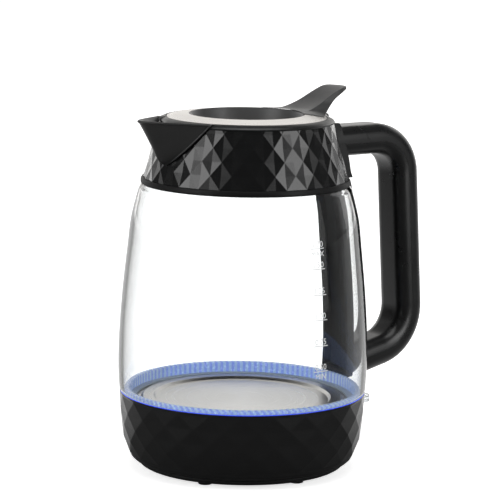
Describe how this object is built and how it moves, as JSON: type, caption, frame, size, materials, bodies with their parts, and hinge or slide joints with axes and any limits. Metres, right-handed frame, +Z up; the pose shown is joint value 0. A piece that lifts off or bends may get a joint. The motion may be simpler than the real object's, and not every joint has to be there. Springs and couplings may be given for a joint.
{
  "type": "electric kettle",
  "caption": "Cordless electric kettle: glass jug with diamond-faceted black base shell and collar, pour-through lid with thumb lever, D handle and power base.",
  "frame": {"origin": "the jug's axis where it meets the surface that the feet stand on", "axes": "+Z up along the jug's axis, +X from the axis towards the handle (the spout is towards -X), +Y across"},
  "size_m": [0.2151, 0.1523, 0.2306],
  "materials": {
    "gloss_black": "gloss",
    "satin_black": "satin",
    "charcoal": "satin",
    "dark_plastic": "matte",
    "steel": "brushed",
    "aluminium": "matte",
    "element_sheath": "matte",
    "brass": "polished",
    "rubber": "matte",
    "silicone": "matte",
    "clear_glass": "clear",
    "clear_plastic": "clear",
    "light_guide": "ribbed, lit blue",
    "led_lens": "lit blue",
    "circuit_board": "solder mask",
    "white_print": "printed"
  },
  "bodies": {
    "power_base": {"power_base_top": "satin_black", "power_base_bottom": "dark_plastic", "rubber_feet": "rubber", "base_connector": "dark_plastic", "base_contacts": "brass", "base_screws": "steel", "cord_gland": "rubber"},
    "jug": {"collar": "gloss_black", "base_shell": "satin_black", "collar_lip": "satin_black", "rim_cap": "satin_black", "spout": "satin_black", "handle_bracket": "satin_black", "handle_outer_shell": "satin_black", "handle_inner_shell": "satin_black", "spine": "dark_plastic", "steam_duct": "dark_plastic", "base_bottom_cover": "dark_plastic", "kettle_connector": "dark_plastic", "thermostat_control": "dark_plastic", "switch_bracket": "dark_plastic", "filter_frame": "dark_plastic", "heater_plate": "steel", "bimetal_disc": "steel", "filter_mesh": "steel", "switch_pin": "steel", "lid_hinge_pin": "steel", "cover_screws": "steel", "heater_diffuser": "aluminium", "heating_element": "element_sheath", "jug_contacts": "brass", "collar_seal": "rubber", "plate_seal": "silicone", "glass_body": "clear_glass", "light_ring": "light_guide", "leds": "led_lens", "led_board": "circuit_board", "volume_scale": "white_print"},
    "lid": {"lid_body": "satin_black", "lid_ring": "steel", "lid_lever": "charcoal", "lid_gasket": "rubber", "flap_pin": "steel", "flap_spring": "steel"},
    "flap": {"flap": "dark_plastic", "flap_seal": "silicone"},
    "switch": {"switch_lever": "clear_plastic"}
  },
  "joints": [
    {"name": "kettle_lift", "type": "slide", "parent": "power_base", "child": "jug", "axis": [0, 0, 1], "range_m": [0, 0.08]},
    {"name": "lid_hinge", "type": "hinge", "parent": "jug", "child": "lid", "pos_m": [0.051, 0, 0.2136], "axis": [0, 1, 0], "range_deg": [0, 45]},
    {"name": "flap_hinge", "type": "hinge", "parent": "lid", "child": "flap", "pos_m": [0.026, 0, 0.2], "axis": [0, -1, 0], "range_deg": [0, 75], "stiffness_Nm_per_rad": 0.002, "springref_deg": -40.11},
    {"name": "switch_rock", "type": "hinge", "parent": "jug", "child": "switch", "pos_m": [0.065, 0, 0.0305], "axis": [0, 1, 0], "range_deg": [0, 10]}
  ]
}
